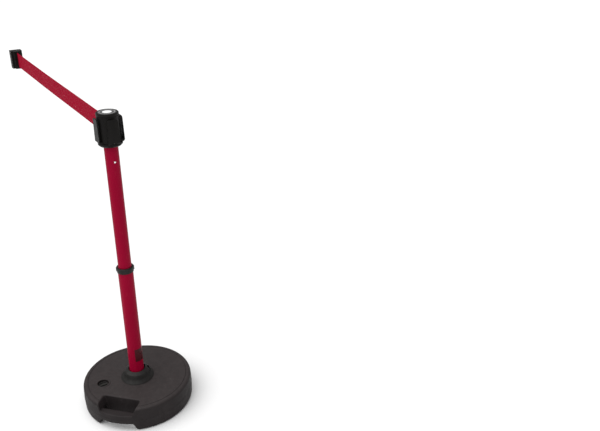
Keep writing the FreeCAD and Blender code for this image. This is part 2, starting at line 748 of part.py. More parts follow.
def cap_label():
    """Plain round label in the recess of the cap."""
    return cylinder(LABEL_RADIUS, HEAD_TOP - LABEL_DEPTH, HEAD_TOP - 0.3)


AXLE_RADIUS = 3.0
AXLE_FOOT = 5.0
AXLE_STEP = 938.5
SPOOL_BOTTOM = 939.5
FLANGE_THICKNESS = 2.0
HUB_BORE = 5.0
BARREL = 10.5
BARREL_WALL = 2.0
SKIRT_WALL = 1.5
SPRING_CUP_BOTTOM = 926.5
AXLE_SCREW_HEAD = (5.5, 5.0)  # radius and height
HEX_SOCKET = (2.5, 3.0)  # half the size across flats, and depth


def spool_axle():
    """Steel spindle standing on the housing floor."""
    floor = HEAD_BOTTOM + FLOOR_THICKNESS
    axle = joined(cylinder(AXLE_FOOT, floor, AXLE_STEP), cylinder(AXLE_RADIUS, floor, CAP_BOTTOM))
    return axle.cut(cylinder(SCREW_RADIUS, floor - 1, AXLE_STEP - 1))


def axle_screw():
    """Screw up through the spigot and the floor into the axle."""
    web = HEAD_BOTTOM - SPIGOT_WEB
    radius, height = AXLE_SCREW_HEAD
    half, depth = HEX_SOCKET
    head = cylinder(radius, web - height, web)
    head = head.cut(hexagon(half, web - height, web - height + depth))
    return head.fuse(cylinder(SCREW_RADIUS, web - 1, AXLE_STEP - 3))


def hexagon(across_half, bottom, top):
    corner = across_half / math.cos(math.pi / 6)
    points = []
    for index in range(6):
        angle = math.pi / 3 * index
        points.append((corner * math.cos(angle), corner * math.sin(angle), bottom))
    return extrude(points, (0, 0, top - bottom))


SPOOL_TOP = BELT_HEIGHT + BELT_WIDTH / 2 + 2 + FLANGE_THICKNESS


def spool_drum():
    """Drum for the belt, with flanges and a skirt around the spring."""
    low = SPOOL_BOTTOM + FLANGE_THICKNESS
    high = SPOOL_TOP - FLANGE_THICKNESS
    skirt = SPOOL_RADIUS - SKIRT_WALL
    return revolve(
        [
            (HUB_BORE, SPOOL_BOTTOM),
            (skirt, SPOOL_BOTTOM),
            (skirt, SPRING_CUP_BOTTOM),
            (SPOOL_RADIUS, SPRING_CUP_BOTTOM),
            (SPOOL_RADIUS, low),
            (BARREL, low),
            (BARREL, high),
            (SPOOL_RADIUS, high),
            (SPOOL_RADIUS, SPOOL_TOP),
            (HUB_BORE, SPOOL_TOP),
            (HUB_BORE, high),
            (BARREL - BARREL_WALL, high),
            (BARREL - BARREL_WALL, low),
            (HUB_BORE, low),
        ]
    )


BUSH_FLANGE = 1.5
BUSH_FLANGE_THICKNESS = 0.6


def spool_bush(bottom):
    """Flanged bush pressed in an end of the drum, running on the axle."""
    bore = AXLE_RADIUS + 0.05
    return joined(
        ring(HUB_BORE, bore, bottom, bottom + FLANGE_THICKNESS),
        ring(HUB_BORE + BUSH_FLANGE, bore, bottom - BUSH_FLANGE_THICKNESS, bottom),
    )


SPRING_STRIP = 0.7
SPRING_MARGIN = 1.5  # between the strip's edges and the spring cup's ends
SPRING_GROWTH = 1.5  # of the radius in each half turn
SPRING_HALF_TURNS = 10


def spiral_edges(start):
    """A spiral of half circles about two centres, starting on +X at a given radius."""
    edges = []
    for index in range(SPRING_HALF_TURNS):
        side = 1 if index % 2 == 0 else -1
        centre = 0.0 if side > 0 else SPRING_GROWTH
        radius = start + SPRING_GROWTH * index
        arc = Part.Arc(
            V(centre + side * radius, 0, 0),
            V(centre, side * radius, 0),
            V(centre - side * radius, 0, 0),
        )
        edges.append(arc.toShape())
    return edges


def power_spring():
    """Coiled strip that winds the belt back in, between the axle and the drum's skirt."""
    start = AXLE_FOOT + 0.2
    last = SPRING_GROWTH * (SPRING_HALF_TURNS - 1)
    end = SPRING_GROWTH + start + last
    ends = [
        Part.LineSegment(V(start, 0, 0), V(start + SPRING_STRIP, 0, 0)).toShape(),
        Part.LineSegment(V(end, 0, 0), V(end + SPRING_STRIP, 0, 0)).toShape(),
    ]
    edges = spiral_edges(start) + spiral_edges(start + SPRING_STRIP) + ends
    strip = Part.Face(Part.Wire(Part.__sortEdges__(edges)))
    strip.translate(V(0, 0, SPRING_CUP_BOTTOM + SPRING_MARGIN))
    return strip.extrude(V(0, 0, SPOOL_BOTTOM - SPRING_CUP_BOTTOM - 2 * SPRING_MARGIN))


def belt_roll():
    """The belt still wound on the drum."""
    low = BELT_HEIGHT - BELT_WIDTH / 2
    return ring(ROLL_RADIUS, BARREL, low, low + BELT_WIDTH)


GUIDE_PIN_RADIUS = 2.0
GUIDE_PIN_Y = 27.3
GUIDE_PIN_X = BELT_THICKNESS / 2 + 0.2 + GUIDE_PIN_RADIUS


def belt_guide_pins():
    """Two upright pins just inside the slot that the belt runs between."""
    floor = HEAD_BOTTOM + FLOOR_THICKNESS
    pins = [
        cylinder(GUIDE_PIN_RADIUS, floor, CAP_SKIRT_BOTTOM - 0.5, (side * GUIDE_PIN_X, GUIDE_PIN_Y))
        for side in (-1, 1)
    ]
    return Part.makeCompound(pins)


def belt_lead():
    """The belt from the roll to the left guide pin and round it into the slot."""
    low = BELT_HEIGHT - BELT_WIDTH / 2
    half = BELT_THICKNESS / 2
    on_roll = ROLL_RADIUS + FREE_GAP + half
    on_pin = GUIDE_PIN_X
    pin = V(-GUIDE_PIN_X, GUIDE_PIN_Y, low)
    lean = math.atan2(GUIDE_PIN_X, GUIDE_PIN_Y)
    turn = lean + math.acos((on_roll + on_pin) / math.hypot(GUIDE_PIN_X, GUIDE_PIN_Y))
    across = V(-math.sin(turn), math.cos(turn), 0)
    halfway = V(math.sin(turn / 2 + math.pi / 4), -math.cos(turn / 2 + math.pi / 4), 0)

    def side(offset):
        """Start, tangent point, point half way round the pin and end of one face."""
        reach = on_pin - offset
        start = across * (on_roll + offset) + V(0, 0, low)
        return start, pin - across * reach, pin + halfway * reach, pin + V(reach, 0, 0)

    near = side(half)
    far = side(-half)
    edges = [
        Part.LineSegment(near[0], near[1]),
        Part.Arc(near[1], near[2], near[3]),
        Part.LineSegment(near[3], far[3]),
        Part.Arc(far[3], far[2], far[1]),
        Part.LineSegment(far[1], far[0]),
        Part.LineSegment(far[0], near[0]),
    ]
    face = Part.Face(Part.Wire([edge.toShape() for edge in edges]))
    return face.extrude(V(0, 0, BELT_WIDTH))


# ---- belt and its clip --------------------------------------------------------------------
# The clip is placed by distances from the next stanchion's axis.
CLIP_HALF_WIDTH = RECEIVER_HALF_WIDTH + 3.5
CLIP_BOTTOM = RECEIVER_FOOT_TOP + 0.5
CLIP_TOP = CLIP_BOTTOM + CLIP_HEIGHT
CLIP_NECK = 12.0  # length of the narrow end that the belt enters
CLIP_SPLIT = 51.0  # where the two mouldings meet
CLIP_BACK = 33.4
NECK_HALF_WIDTH = CLIP_HALF_WIDTH - 9.0
POCKET_NEAR = RECEIVER_FACE + RECEIVER_THICKNESS + 0.8
POCKET_BACK = RECEIVER_FACE - 0.6
CLIP_PIN_RADIUS = 2.0
CLIP_SCREW_X = 13.0
CLIP_SCREW_INSET = 12.0
CLIP_SCREW_HEAD = 3.0
CLIP_SCREW_SINK = 3.0
CLIP_SCREW_GRIP = 8.0  # depth in the nose
GRIP_GROOVES = 5
GROOVE_FIRST = 9.0  # above the clip's bottom
GROOVE_PITCH = 12.4
GROOVE_HEIGHT = 2.2
GROOVE_DEPTH = 1.2
BELT_SLOT_HALF = 1.2  # half the width of the slot that the belt enters
BELT_START = GUIDE_PIN_Y
BELT_END = POST_SPACING - CLIP_REACH + CLIP_NECK


def belt():
    """The pulled-out span, from the guide pins to the pin in the clip."""
    half = BELT_THICKNESS / 2
    low = BELT_HEIGHT - BELT_WIDTH / 2
    return block(-half, half, BELT_START, BELT_END, low, low + BELT_WIDTH)


def clip_block(far, near, half_width, low=CLIP_BOTTOM, high=CLIP_TOP):
    """A block between two distances from the next stanchion's axis."""
    return block(-half_width, half_width, POST_SPACING - far, POST_SPACING - near, low, high)


def upright_edge(edge):
    return edge.BoundBox.ZLength > CLIP_HEIGHT - 0.1


def clip_screw_rods(radius, far, near):
    """Four rods along the belt at the clip's screws, between two distances."""
    rods = []
    for x in (-CLIP_SCREW_X, CLIP_SCREW_X):
        for z in (CLIP_BOTTOM + CLIP_SCREW_INSET, CLIP_TOP - CLIP_SCREW_INSET):
            start = V(x, POST_SPACING - far, z)
            rods.append(Part.makeCylinder(radius, far - near, start, V(0, 1, 0)))
    return rods


def clip_grip_grooves():
    """Finger grooves across both sides of the clip."""
    grooves = []
    for index in range(GRIP_GROOVES):
        low = CLIP_BOTTOM + GROOVE_FIRST + GROOVE_PITCH * index
        groove = clip_block(CLIP_REACH, 0, CLIP_HALF_WIDTH + 1, low, low + GROOVE_HEIGHT)
        grooves.append(groove.cut(clip_block(CLIP_REACH, 0, CLIP_HALF_WIDTH - GROOVE_DEPTH)))
    return grooves


def clip_nose():
    """Half of the clip that the belt enters, with the seat for the belt's pin."""
    neck = clip_block(CLIP_REACH, CLIP_SPLIT, NECK_HALF_WIDTH)
    body = clip_block(CLIP_REACH - CLIP_NECK, CLIP_SPLIT, CLIP_HALF_WIDTH)
    shape = rounded(joined(neck, body), 2.0, upright_edge)
    half = BELT_WIDTH / 2 + 1
    low = BELT_HEIGHT - half
    near = POST_SPACING - CLIP_REACH - 1
    slot = block(-BELT_SLOT_HALF, BELT_SLOT_HALF, near, BELT_END, low, low + 2 * half)
    seat = cylinder(CLIP_PIN_RADIUS, low, low + 2 * half, (0, BELT_END + CLIP_PIN_RADIUS))
    shape = shape.cut(slot).cut(seat)
    screws = clip_screw_rods(SMALL_SCREW, CLIP_SPLIT + CLIP_SCREW_GRIP, CLIP_SPLIT)
    for cut in clip_grip_grooves() + screws:
        shape = shape.cut(cut)
    return shape


def clip_pin():
    """Pin that the sewn loop of the belt is held by."""
    half = BELT_WIDTH / 2
    centre = (0, BELT_END + CLIP_PIN_RADIUS)
    return cylinder(CLIP_PIN_RADIUS, BELT_HEIGHT - half, BELT_HEIGHT + half, centre)


def clip_hook():
    """Half of the clip with the pocket that drops over a receiver plate."""
    shape = clip_block(CLIP_SPLIT, CLIP_BACK, CLIP_HALF_WIDTH)
    far_face = POST_SPACING - CLIP_BACK - 0.1
    shape = rounded(shape, 1.5, lambda e: upright_edge(e) and e.BoundBox.YMin > far_face)
    pocket = clip_block(
        POCKET_NEAR, POCKET_BACK, RECEIVER_HALF_WIDTH + 0.5, CLIP_BOTTOM - 1, CLIP_TOP + 1
    )
    shape = shape.cut(pocket)
    sunk = POCKET_NEAR + CLIP_SCREW_SINK
    shanks = clip_screw_rods(SMALL_SCREW, CLIP_SPLIT, sunk)
    heads = clip_screw_rods(CLIP_SCREW_HEAD, sunk, POCKET_NEAR)
    for cut in shanks + heads + clip_grip_grooves():
        shape = shape.cut(cut)
    return shape


def clip_screws():
    """Four screws that hold the two halves of the clip together, sunk in the pocket's wall."""
    sunk = POCKET_NEAR + CLIP_SCREW_SINK
    shanks = clip_screw_rods(SMALL_SCREW, CLIP_SPLIT + CLIP_SCREW_GRIP, sunk)
    heads = clip_screw_rods(CLIP_SCREW_HEAD, sunk, sunk - 2)
    return Part.makeCompound([shank.fuse(head) for shank, head in zip(shanks, heads)])


# ---- the nodes ----------------------------------------------------------------------------
def main():
    os.makedirs("parts", exist_ok=True)
    nodes = {
        "base_shell": base_shell,
        "ballast_fill": ballast_fill,
        "fill_cap": fill_cap,
        "fill_cap_seal": fill_cap_seal,
        "socket_insert": socket_insert,
        "socket_nut": socket_nut,
        "post_foot": post_foot,
        "foot_key_pin": foot_key_pin,
        "lower_tube": lower_tube,
        "tube_label": tube_label,
        "collar_ferrule": collar_ferrule,
        "clamp_collet": clamp_collet,
        "twist_collar": twist_collar,
        "upper_tube": upper_tube,
        "glide_plug": glide_plug,
        "glide_rivets": glide_rivets,
        "head_spigot": head_spigot,
        "head_lock_button": head_lock_button,
        "head_lock_spring": head_lock_spring,
        "head_housing": head_housing,
        "belt_slot_bezel": belt_slot_bezel,
        "receiver_screws": receiver_screws,
        "head_cap": head_cap,
        "cap_label": cap_label,
        "spool_axle": spool_axle,
        "axle_screw": axle_screw,
        "spool_drum": spool_drum,
        "power_spring": power_spring,
        "belt_roll": belt_roll,
        "belt_guide_pins": belt_guide_pins,
        "belt_lead": belt_lead,
        "belt": belt,
        "clip_nose": clip_nose,
        "clip_hook": clip_hook,
        "clip_pin": clip_pin,
        "clip_screws": clip_screws,
    }
    for node, build in nodes.items():
        save(build(), node)
    for side, angle in RECEIVER_ANGLES.items():
        save(turned(receiver(), angle), "receiver_" + side)
    save(spool_bush(SPOOL_BOTTOM), "spool_lower_bush")
    save(spool_bush(SPOOL_TOP - FLANGE_THICKNESS), "spool_upper_bush")


main()
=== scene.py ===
"""The looks of the retractable belt stanchion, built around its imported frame.

Everything is in metres in the frame's own axes: +Z up, the belt leaves the head along +Y.
"""

import math

import bmesh
import bpy
import numpy as np
from mathutils import Matrix, Vector


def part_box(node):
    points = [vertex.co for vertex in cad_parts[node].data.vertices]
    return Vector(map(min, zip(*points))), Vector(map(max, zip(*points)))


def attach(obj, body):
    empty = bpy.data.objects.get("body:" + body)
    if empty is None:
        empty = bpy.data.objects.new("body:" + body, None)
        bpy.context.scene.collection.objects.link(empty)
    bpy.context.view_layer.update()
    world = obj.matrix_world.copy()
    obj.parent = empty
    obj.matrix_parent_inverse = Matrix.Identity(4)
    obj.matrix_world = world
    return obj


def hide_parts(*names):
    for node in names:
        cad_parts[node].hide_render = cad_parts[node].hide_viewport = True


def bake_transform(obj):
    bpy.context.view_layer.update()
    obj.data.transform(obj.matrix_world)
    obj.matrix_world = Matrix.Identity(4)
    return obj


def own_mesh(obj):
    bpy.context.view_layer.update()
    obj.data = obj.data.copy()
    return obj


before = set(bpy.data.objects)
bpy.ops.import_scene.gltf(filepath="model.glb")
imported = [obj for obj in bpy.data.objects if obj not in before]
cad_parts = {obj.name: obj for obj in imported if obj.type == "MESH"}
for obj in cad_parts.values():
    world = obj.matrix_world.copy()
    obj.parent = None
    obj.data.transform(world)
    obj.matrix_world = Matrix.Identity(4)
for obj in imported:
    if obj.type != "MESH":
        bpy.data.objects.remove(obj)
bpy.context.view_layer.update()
scene = bpy.context.scene
MM = 0.001
BASE_HEIGHT = 86 * MM


# ---- camera, floor and light --------------------------------------------------------------
CAMERA_PLACE = (-0.6115, -1.9189, 1.5943)
CAMERA_HEADING = 33.701  # degrees from +Y towards +X
CAMERA_DIP = 24.96  # degrees below the horizon
CAMERA_ROLL = 0.24
CAMERA_LENS = 41.73  # mm
CAMERA_SENSOR = 36.0  # mm


def add_camera():
    """The camera, level with the frame's axes before its heading, dip and roll."""
    camera = bpy.data.objects.new("camera", bpy.data.cameras.new("camera"))
    scene.collection.objects.link(camera)
    camera.data.lens = CAMERA_LENS
    camera.data.sensor_width = CAMERA_SENSOR
    heading = Matrix.Rotation(math.radians(-CAMERA_HEADING), 4, "Z")
    dip = Matrix.Rotation(math.radians(90 - CAMERA_DIP), 4, "X")
    roll = Matrix.Rotation(math.radians(CAMERA_ROLL), 4, "Z")
    camera.matrix_world = Matrix.Translation(CAMERA_PLACE) @ heading @ dip @ roll
    scene.camera = camera


FLOOR_RADIUS = 40.0
FLOOR_TONE = 0.80
SKY_STRENGTH = 0.45
KEY_STRENGTH = 3.1
KEY_SPREAD = 80  # degrees across, so its shadows are soft
KEY_AZIMUTH = 180  # degrees from +X towards +Y
KEY_HEIGHT = 68  # degrees above the horizon


def add_floor():
    """A wide sheet of matt paper at floor level."""
    bpy.ops.mesh.primitive_circle_add(vertices=64, radius=FLOOR_RADIUS, fill_type="NGON")
    floor = bpy.context.object
    floor.name = "floor"
    paper = bpy.data.materials.new("floor_paper")
    paper.use_nodes = True
    shader = paper.node_tree.nodes["Principled BSDF"]
    shader.inputs["Base Color"].default_value = (FLOOR_TONE, FLOOR_TONE, FLOOR_TONE, 1)
    shader.inputs["Roughness"].default_value = 0.9
    shader.inputs["Specular IOR Level"].default_value = 0.1
    floor.data.materials.append(paper)


def add_key_light():
    """One wide sun that gives the soft shadow under the base."""
    lamp = bpy.data.lights.new("key_light", "SUN")
    lamp.energy = KEY_STRENGTH
    lamp.angle = math.radians(KEY_SPREAD)
    sun = bpy.data.objects.new("key_light", lamp)
    scene.collection.objects.link(sun)
    azimuth, height = math.radians(KEY_AZIMUTH), math.radians(KEY_HEIGHT)
    level = math.cos(height)
    towards = Vector((math.cos(azimuth) * level, math.sin(azimuth) * level, math.sin(height)))
    sun.rotation_euler = towards.to_track_quat("Z", "Y").to_euler()


def add_lights():
    """An even white sky with the key light."""
    world = bpy.data.worlds.new("studio")
    world.use_nodes = True
    sky = world.node_tree.nodes["Background"]
    sky.inputs["Color"].default_value = (1, 1, 1, 1)
    sky.inputs["Strength"].default_value = SKY_STRENGTH
    scene.world = world
    add_key_light()
    scene.view_settings.view_transform = "Standard"


# ---- materials ----------------------------------------------------------------------------
# A colour is linear red, green and blue. Sizes and depths of grain are in metres.
MIX_COLOURS = (6, 7)  # a Mix node's colour inputs
MIX_RESULT = 2  # and its colour output
NOISE_SPREAD = (0.3, 0.7)  # nearly all noise lies between these


class Finish:
    """A procedural material under construction, placed by the piece's own coordinates."""

    def __init__(self, name, **values):
        self.material = bpy.data.materials.new(name)
        self.material.use_nodes = True
        self.tree = self.material.node_tree
        self.shader = self.tree.nodes["Principled BSDF"]
        for socket, value in values.items():
            self.shader.inputs[socket.replace("_", " ")].default_value = value
        self.place = self.node("TexCoord").outputs["Object"]
        self.height = None

    def node(self, kind, **values):
        """A new node; each value is a property, or a number or socket for the input of that name."""
        made = self.tree.nodes.new("ShaderNode" + kind)
        for name, value in values.items():
            if hasattr(made, name):
                setattr(made, name, value)
            elif isinstance(value, bpy.types.NodeSocket):
                self.tree.links.new(value, made.inputs[name.replace("_", " ")])
            else:
                made.inputs[name.replace("_", " ")].default_value = value
        return made

    def sum(self, operation, first, second=0.0):
        """A Math node; each operand is a socket or a number."""
        made = self.node("Math", operation=operation)
        for slot, value in zip(made.inputs, (first, second)):
            if isinstance(value, bpy.types.NodeSocket):
                self.tree.links.new(value, slot)
            else:
                slot.default_value = value
        return made.outputs[0]

    def noise(self, size, detail=3.0, stretch=(1, 1, 1), rough=0.5, turn=0.0):
        """Noise with features of about that size, longer along the stretched axes."""
        scale = [1 / (size * s) for s in stretch]
        place = self.node("Mapping", Vector=self.place, Scale=scale, Rotation=(0, 0, turn))
        made = self.node(
            "TexNoise", Vector=place.outputs[0], Scale=1.0, Detail=detail, Roughness=rough
        )
        return made.outputs["Fac"]

    def ramp(self, value, low, high, start=0.0, end=1.0):
        """The value mapped from low..high to start..end."""
        made = self.node("MapRange", Value=value)
        made.inputs["From Min"].default_value = low
        made.inputs["From Max"].default_value = high
        made.inputs["To Min"].default_value = start
        made.inputs["To Max"].default_value = end
        return made.outputs[0]

    def clouds(self, size, start=0.0, end=1.0, **shape):
        """Noise spread out so that it goes from start to end."""
        return self.ramp(self.noise(size, **shape), *NOISE_SPREAD, start, end)

    def mix(self, share, first, second):
        """Two colours mixed; each is a colour or a socket."""
        made = self.node("Mix", data_type="RGBA")
        self.tree.links.new(share, made.inputs[0])
        for index, value in zip(MIX_COLOURS, (first, second)):
            slot = made.inputs[index]
            if isinstance(value, bpy.types.NodeSocket):
                self.tree.links.new(value, slot)
            else:
                slot.default_value = (*value, 1)
        return made.outputs[MIX_RESULT]

    def colour(self, value):
        """Gives the surface the colour that comes out of a socket."""
        self.tree.links.new(value, self.shader.inputs["Base Color"])

    def roughness(self, low, high, size=0.02, stretch=(1, 1, 1)):
        """Lets the roughness vary from low to high in patches of about that size."""
        value = self.clouds(size, low, high, stretch=stretch)
        self.tree.links.new(value, self.shader.inputs["Roughness"])

    def bump(self, value, depth):
        """Adds relief of that depth in metres."""
        relief = self.sum("MULTIPLY", value, depth)
        self.height = relief if self.height is None else self.sum("ADD", self.height, relief)

    def done(self):
        """The finished material, with all its relief in one bump."""
        if self.height is not None:
            made = self.node("Bump", Height=self.height, Strength=1.0, Distance=1.0)
            self.tree.links.new(made.outputs[0], self.shader.inputs["Normal"])
        return self.material


def upward(finish):
    """How far the surface faces up, nought to one."""
    normal = finish.node("NewGeometry").outputs["Normal"]
    axes = finish.node("SeparateXYZ", Vector=normal)
    return finish.ramp(axes.outputs["Z"], 0.2, 1.0)


SCRATCH_THINNESS = 0.010
SCRATCH_PATCH = 12  # size of a scratched patch, in scratches
SCRATCH_SPREAD = (0.54, 0.66)  # a higher start leaves fewer patches


def scratches(finish, size, stretch, share, turn=0.0):
    """Thin straight marks along the stretched axis: nought on most of the surface."""
    noise = finish.noise(size, detail=0, stretch=stretch, turn=turn)
    off_middle = finish.sum("ABSOLUTE", finish.sum("SUBTRACT", noise, 0.5))
    lines = finish.ramp(off_middle, SCRATCH_THINNESS, 0.0)
    patches = finish.ramp(finish.noise(size * SCRATCH_PATCH), *SCRATCH_SPREAD)
    return finish.sum("MULTIPLY", finish.sum("MULTIPLY", lines, patches), share)


DUST_AND_TOP_LIGHT_DEPTH = 14 * MM  # below the base's top, where the dust and the painted top light have faded out
DUST_AND_TOP_LIGHT_COLOUR = (0.11, 0.094, 0.092)
SCUFF_COLOUR = (0.16, 0.15, 0.15)


def base_plastic():
    """Coarse-grained blow-moulded shell, a little dusty and lighter on top (part dust, part painted
    top light), with light scuffs.
    """
    made = Finish("base_plastic_finish", Specular_IOR_Level=0.16)
    tone = made.clouds(0.05, detail=5)
    body = made.mix(tone, (0.0150, 0.0118, 0.0122), (0.0190, 0.0150, 0.0152))
    # A lighter film on upward faces near the top: partly dust, partly painted top light.
    height = made.node("SeparateXYZ", Vector=made.place).outputs["Z"]
    near_top = made.ramp(height, BASE_HEIGHT - DUST_AND_TOP_LIGHT_DEPTH, BASE_HEIGHT)
    on_top = made.sum("MULTIPLY", upward(made), near_top)
    specks = made.ramp(made.noise(0.012, detail=6), 0.2, 0.8, 0.09, 0.19)
    body = made.mix(made.sum("MULTIPLY", on_top, specks), body, DUST_AND_TOP_LIGHT_COLOUR)
    scuffs = scratches(made, 0.004, (1, 16, 16), 0.22, turn=0.6)
    made.colour(made.mix(scuffs, body, SCUFF_COLOUR))
    made.roughness(0.52, 0.68, 0.03)
    made.bump(made.noise(0.0016, detail=2), 0.00022)
    made.bump(made.noise(0.03, detail=2), 0.0006)
    return made.done()


MOULDED_GRAIN = 0.0008
MOULDED_RELIEF = 0.00008


def moulded(name, dark, light, roughness, specular=0.18):
    """Injection-moulded plastic: fine even grain and faint flow marks."""
    made = Finish(name, Specular_IOR_Level=specular)
    made.colour(made.mix(made.clouds(0.018, detail=4, stretch=(1, 1, 3)), dark, light))
    made.roughness(roughness - 0.05, roughness + 0.07, 0.012)
    made.bump(made.noise(MOULDED_GRAIN, detail=2), MOULDED_RELIEF)
    made.bump(made.noise(0.02, detail=1), MOULDED_RELIEF)
    return made.done()


WORN_PAINT = (0.46, 0.06, 0.08)


def tube_paint():
    """Crimson powder coat with a fine orange peel and hairline scratches along the tube."""
    made = Finish("red_tube_paint_finish", Specular_IOR_Level=0.04)
    tone = made.clouds(0.05, detail=3, stretch=(1, 1, 5))
    paint = made.mix(tone, (0.248, 0.0008, 0.0200), (0.282, 0.0016, 0.0245))
    worn = scratches(made, 0.0022, (1, 1, 28), 0.45)
    made.colour(made.mix(worn, paint, WORN_PAINT))
    made.roughness(0.3, 0.42, 0.02, (1, 1, 4))
    made.bump(made.noise(0.0028, detail=2), 0.00006)
    return made.done()


def metal(name, dark, light, roughness, grain):
    """Bare or plated steel with fine tool marks."""
    made = Finish(name, Metallic=1.0)
    made.colour(made.mix(made.clouds(0.004, detail=4), dark, light))
    made.roughness(roughness - 0.06, roughness + 0.08, grain * 4)
    made.bump(made.noise(grain), 0.00002)
    return made.done()


WARP_PITCH = 2.0 * MM  # across the belt, which the belt's ribs follow too
WEFT_PITCH = 1.25 * MM
FADED_BELT = (0.34, 0.005, 0.030)


def webbing():
    """Woven polyester: ribs along the belt crossed by picks, with painted shade in the hollows so
    the raised yarns look brighter.
    """
    made = Finish("belt_webbing_finish", Specular_IOR_Level=0.02)
    made.shader.inputs["Sheen Weight"].default_value = 0.006
    made.shader.inputs["Sheen Roughness"].default_value = 0.45
    axes = made.node("SeparateXYZ", Vector=made.place)
    along = made.sum("MULTIPLY", axes.outputs["Y"], 2 * math.pi / WEFT_PITCH)
    across = made.sum("MULTIPLY", axes.outputs["Z"], math.pi / WARP_PITCH)
    pick = made.sum("MULTIPLY", made.sum("SINE", along), made.sum("SINE", across))
    yarn = made.ramp(pick, -1, 1)
    fuzz = made.noise(0.0005, detail=2, stretch=(1, 3, 1))
    # Painted shade: darker between the yarns and lighter on the raised yarns, mixed with the fibres'
    # own fuzz.
    shade = made.sum("MULTIPLY", made.ramp(fuzz, 0.2, 0.8, 0.6, 1.0), yarn)
    woven_with_painted_shade = made.mix(shade, (0.205, 0.0010, 0.012), (0.385, 0.0034, 0.028))
    fade = made.ramp(made.noise(0.09, detail=3), 0.35, 0.7, 0, 0.25)
    made.colour(made.mix(fade, woven_with_painted_shade, FADED_BELT))
    made.roughness(0.62, 0.78, 0.004)
    made.bump(yarn, 0.00010)
    made.bump(fuzz, 0.00005)
    return made.done()


LABEL_SPOT = 13.6 * MM  # its radius
LABEL_HIGHLIGHT_BAND = (21.0 * MM, 23.5 * MM)  # inner and outer radius of the pale ring, a painted highlight of the cap's rim


def label_film():
    """Plain printed disc: a white spot on black, no lettering, and a thin pale ring painted on as
    the highlight of the cap's rim.
    """
    made = Finish("label_film_finish", Coat_Weight=0.4, Coat_Roughness=0.12)
    axes = made.node("SeparateXYZ", Vector=made.place)
    x, y = axes.outputs["X"], axes.outputs["Y"]
    squares = made.sum("ADD", made.sum("MULTIPLY", x, x), made.sum("MULTIPLY", y, y))
    radius = made.sum("SQRT", squares)
    spot = made.sum("LESS_THAN", radius, LABEL_SPOT)
    # Painted highlight: a pale grey ring where the cap's rim catches the light.
    highlight_band = made.sum(
        "MULTIPLY",
        made.sum("GREATER_THAN", radius, LABEL_HIGHLIGHT_BAND[0]),
        made.sum("LESS_THAN", radius, LABEL_HIGHLIGHT_BAND[1]),
    )
    tone = made.clouds(0.002, detail=3)
    white = made.mix(tone, (0.93, 0.92, 0.92), (0.97, 0.97, 0.97))
    highlight_grey = made.mix(tone, (0.22, 0.21, 0.21), (0.30, 0.29, 0.29))
    black = made.mix(tone, (0.010, 0.010, 0.010), (0.016, 0.016, 0.016))
    made.colour(made.mix(spot, made.mix(highlight_band, black, highlight_grey), white))
    made.roughness(0.26, 0.36, 0.01)
    made.bump(made.noise(0.0015, detail=2), 0.00002)
    return made.done()


def fill_sand():
    """Loose grains from brown to pale."""
    made = Finish("ballast_sand_finish", Specular_IOR_Level=0.2)
    grains = made.noise(0.0012, detail=3, rough=0.8)
    shade = made.ramp(grains, *NOISE_SPREAD)
    made.colour(made.mix(shade, (0.24, 0.17, 0.10), (0.52, 0.42, 0.29)))
    made.roughness(0.8, 0.95, 0.01)
    made.bump(grains, 0.0004)
    return made.done()


HEAD_GLOSS = 0.09
MOULDED = {  # slot: darkest and lightest colour, roughness, and specular level if not the usual
    "fill_cap_plastic": ((0.018, 0.017, 0.016), (0.026, 0.024, 0.023), 0.45),
    "seal_rubber": ((0.012, 0.012, 0.012), (0.02, 0.02, 0.02), 0.8),
    "black_nylon": ((0.0105, 0.0100, 0.0094), (0.0150, 0.0138, 0.0130), 0.5),
    "white_nylon": ((0.62, 0.61, 0.57), (0.70, 0.69, 0.66), 0.42),
    "head_plastic": ((0.0065, 0.0058, 0.0054), (0.0095, 0.0085, 0.0080), 0.42, HEAD_GLOSS),
    "wrap_film": ((0.034, 0.002, 0.004), (0.060, 0.004, 0.008), 0.3),
    "drum_plastic": ((0.05, 0.05, 0.05), (0.07, 0.07, 0.07), 0.5),
}
METALS = {  # slot: darkest and lightest colour, roughness, grain
    "zinc_steel": ((0.50, 0.50, 0.48), (0.66, 0.66, 0.63), 0.38, 0.0006),
    "bright_steel": ((0.72, 0.72, 0.72), (0.82, 0.82, 0.82), 0.2, 0.0004),
    "spring_steel": ((0.26, 0.27, 0.30), (0.36, 0.37, 0.40), 0.3, 0.0005),
}


def make_finishes():
    """One finish for each material slot of the record."""
    finishes = {
        "base_plastic": base_plastic(),
        "ballast_sand": fill_sand(),
        "red_tube_paint": tube_paint(),
        "label_film": label_film(),
        "belt_webbing": webbing(),
    }
    for slot, values in MOULDED.items():
        finishes[slot] = moulded(slot + "_finish", *values)
    for slot, values in METALS.items():
        finishes[slot] = metal(slot + "_finish", *values)
    return finishes


# ---- mesh helpers -------------------------------------------------------------------------
def add_piece(name, mesh, body, slot, *nodes):
    """A finished piece that rides on a body and stands for CAD nodes."""
    piece = bpy.data.objects.new(name, mesh)
    scene.collection.objects.link(piece)
    if not mesh.materials:
        mesh.materials.append(FINISHES[slot])
    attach(piece, body)
    if nodes:
        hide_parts(*nodes)
    return piece


WELD_DISTANCE = 0.002 * MM
FLAT_ANGLE = math.radians(0.4)  # faces that meet at less are one face
SHARP_ANGLE = math.radians(30)  # edges sharper than this are rounded
ROUNDING_STEPS = 3


def shade_smooth(mesh):
    """Marks every face as part of a smooth surface."""
    mesh.polygons.foreach_set("use_smooth", [True] * len(mesh.polygons))


